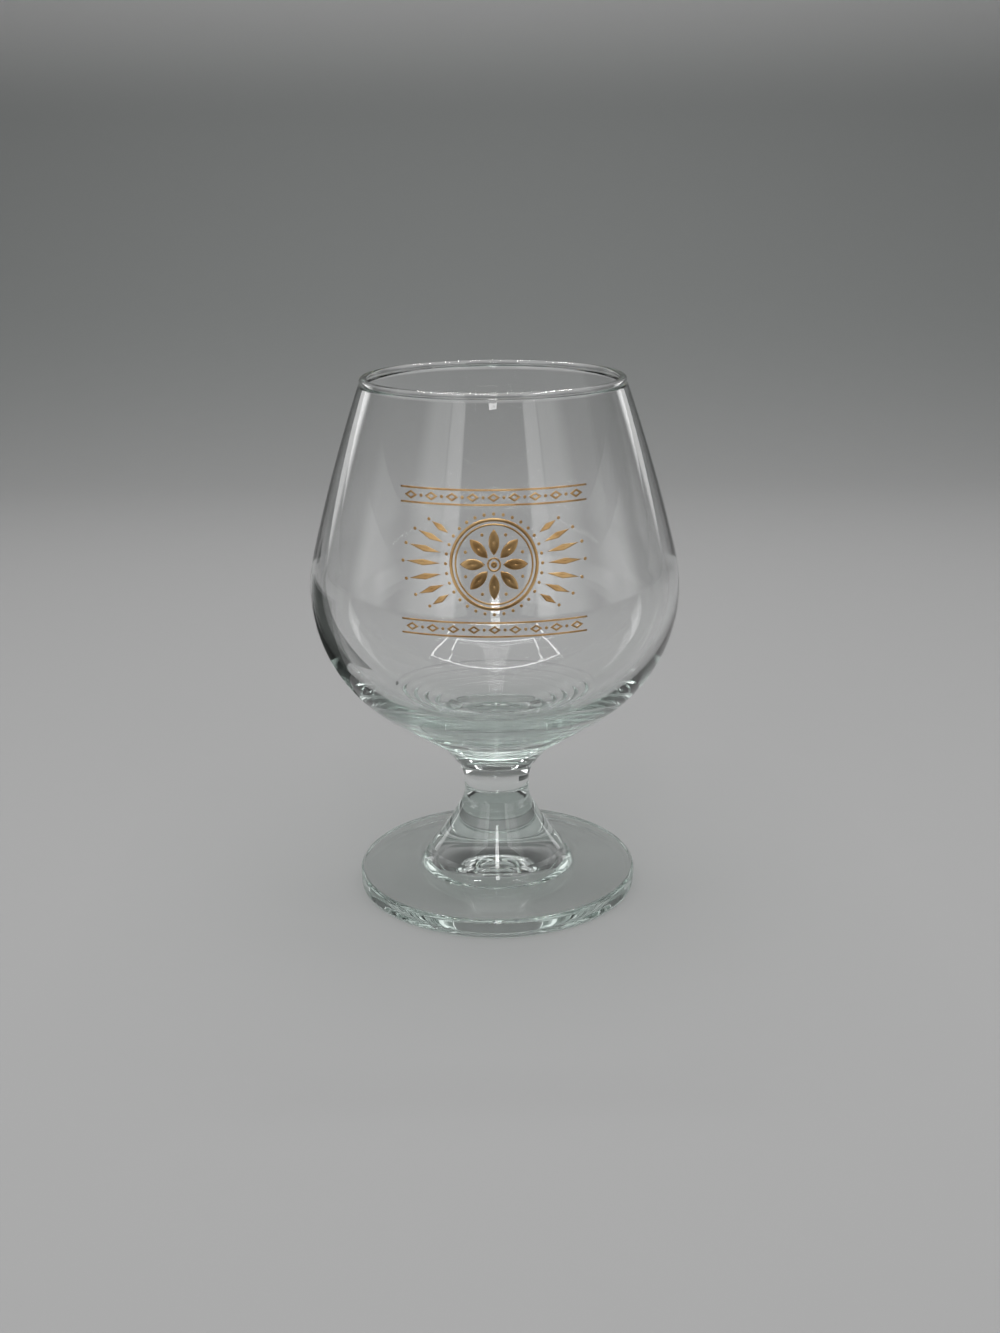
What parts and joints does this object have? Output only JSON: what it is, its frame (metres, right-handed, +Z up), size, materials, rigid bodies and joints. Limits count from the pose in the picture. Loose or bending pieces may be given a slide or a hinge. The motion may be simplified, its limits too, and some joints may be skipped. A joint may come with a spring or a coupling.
{
  "type": "cognac glass",
  "caption": "Stemmed cognac glass with a wide bowl that narrows to a beaded rim, a short bell stem, a round foot and a gold ornament fired on to the front of the bowl.",
  "frame": {"origin": "centre of the ring that the foot stands on, at the table's level", "axes": "+Z up along the glass's axis, the print faces -Y"},
  "size_m": [0.073, 0.0731, 0.105],
  "materials": {
    "clear_glass": "fire-polished clear soda-lime glass with a faint green tint in its thick parts",
    "fired_gold": "satin fired-on gold"
  },
  "bodies": {
    "root": {"glass": "clear_glass", "gold_print": "fired_gold"}
  },
  "joints": []
}
